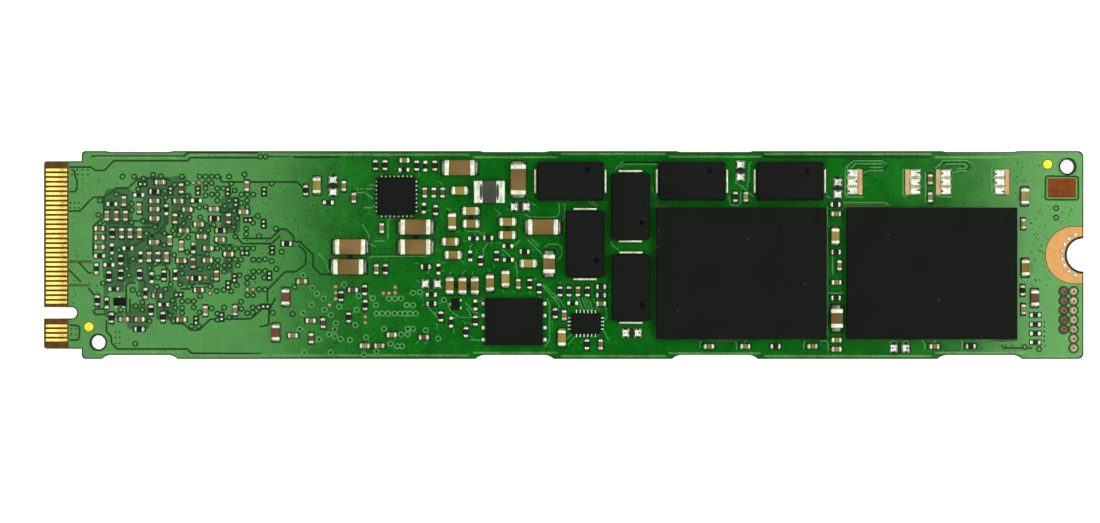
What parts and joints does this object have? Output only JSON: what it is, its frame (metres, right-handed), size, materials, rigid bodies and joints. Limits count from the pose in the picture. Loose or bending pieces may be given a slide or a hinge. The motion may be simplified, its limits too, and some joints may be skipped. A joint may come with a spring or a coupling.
{
  "type": "solid state drive",
  "caption": "Long narrow M.2 storage card: green circuit board with gold edge contacts, flash packages, hold-up capacitors and small chips on both sides.",
  "frame": {"origin": "under the middle of the card, on the plane of the reverse side's tallest pieces", "axes": "+X from the edge contacts to the screw notch, +Y across the card, +Z out of the side with the hold-up capacitors"},
  "size_m": [0.11, 0.022, 0.0037],
  "materials": {
    "bare_copper": "bare copper, protected",
    "bare_laminate": "bare glass-epoxy laminate, brown",
    "brown_ceramic": "fired brown ceramic",
    "can_metal": "nickel plated can",
    "case_mould": "matte black epoxy mould",
    "chip_mould": "matte black epoxy mould",
    "contact_gold": "gold plated",
    "dark_ceramic": "fired dark red-brown ceramic",
    "dull_copper": "dull tinned copper",
    "ferrite": "dark grey ferrite",
    "green_mask": "semi-gloss green solder mask",
    "label_paper": "blank matte label",
    "package_laminate": "dark green package laminate",
    "resistor_glaze": "black glaze",
    "solder": "satin solder",
    "tan_ceramic": "fired tan ceramic",
    "tinned_metal": "satin tin plate"
  },
  "bodies": {
    "root": {"blank_label": "label_paper", "boot_memory": "chip_mould", "boot_memory_leads": "tinned_metal", "circuit_board": "bare_laminate", "component_lands_lower": "solder", "component_lands_upper": "solder", "controller_package": "chip_mould", "crystal_can": "can_metal", "dram_package": "chip_mould", "edge_contacts_lower": "contact_gold", "edge_contacts_upper": "contact_gold", "fiducial_marks": "contact_gold", "filter_inductor_core": "ferrite", "filter_inductor_terminals": "tinned_metal", "flash_package_lower_1": "chip_mould", "flash_package_lower_2": "chip_mould", "flash_package_upper_1": "chip_mould", "flash_package_upper_2": "chip_mould", "hold_up_capacitor_1": "case_mould", "hold_up_capacitor_2": "case_mould", "hold_up_capacitor_3": "case_mould", "hold_up_capacitor_4": "case_mould", "hold_up_capacitor_5": "case_mould", "hold_up_capacitor_6": "case_mould", "hold_up_capacitor_terminals": "tinned_metal", "large_capacitors": "brown_ceramic", "large_capacitors_ends": "tinned_metal", "load_switch": "chip_mould", "load_switch_leads": "tinned_metal", "medium_capacitors_brown": "brown_ceramic", "medium_capacitors_ends": "tinned_metal", "medium_capacitors_tan": "tan_ceramic", "package_solder_balls_lower": "solder", "package_solder_balls_upper": "solder", "package_substrates_lower": "package_laminate", "package_substrates_upper": "package_laminate", "power_chip": "chip_mould", "power_chip_leads": "tinned_metal", "power_inductor_cores": "ferrite", "power_inductor_terminals": "tinned_metal", "resistors": "resistor_glaze", "resistors_ends": "tinned_metal", "reverse_capacitors": "brown_ceramic", "reverse_capacitors_ends": "tinned_metal", "reverse_resistors": "resistor_glaze", "reverse_resistors_ends": "tinned_metal", "screw_ground_pad_lower": "bare_copper", "screw_ground_pad_upper": "bare_copper", "small_capacitors_brown": "brown_ceramic", "small_capacitors_dark": "dark_ceramic", "small_capacitors_ends": "tinned_metal", "small_capacitors_tan": "tan_ceramic", "solder_mask_lower": "green_mask", "solder_mask_upper": "green_mask", "spare_capacitor_lands": "bare_copper", "spare_land_solder": "solder", "spare_lands": "solder", "test_pads": "dull_copper", "transistor_bodies": "chip_mould", "transistor_leads": "tinned_metal"}
  },
  "joints": []
}
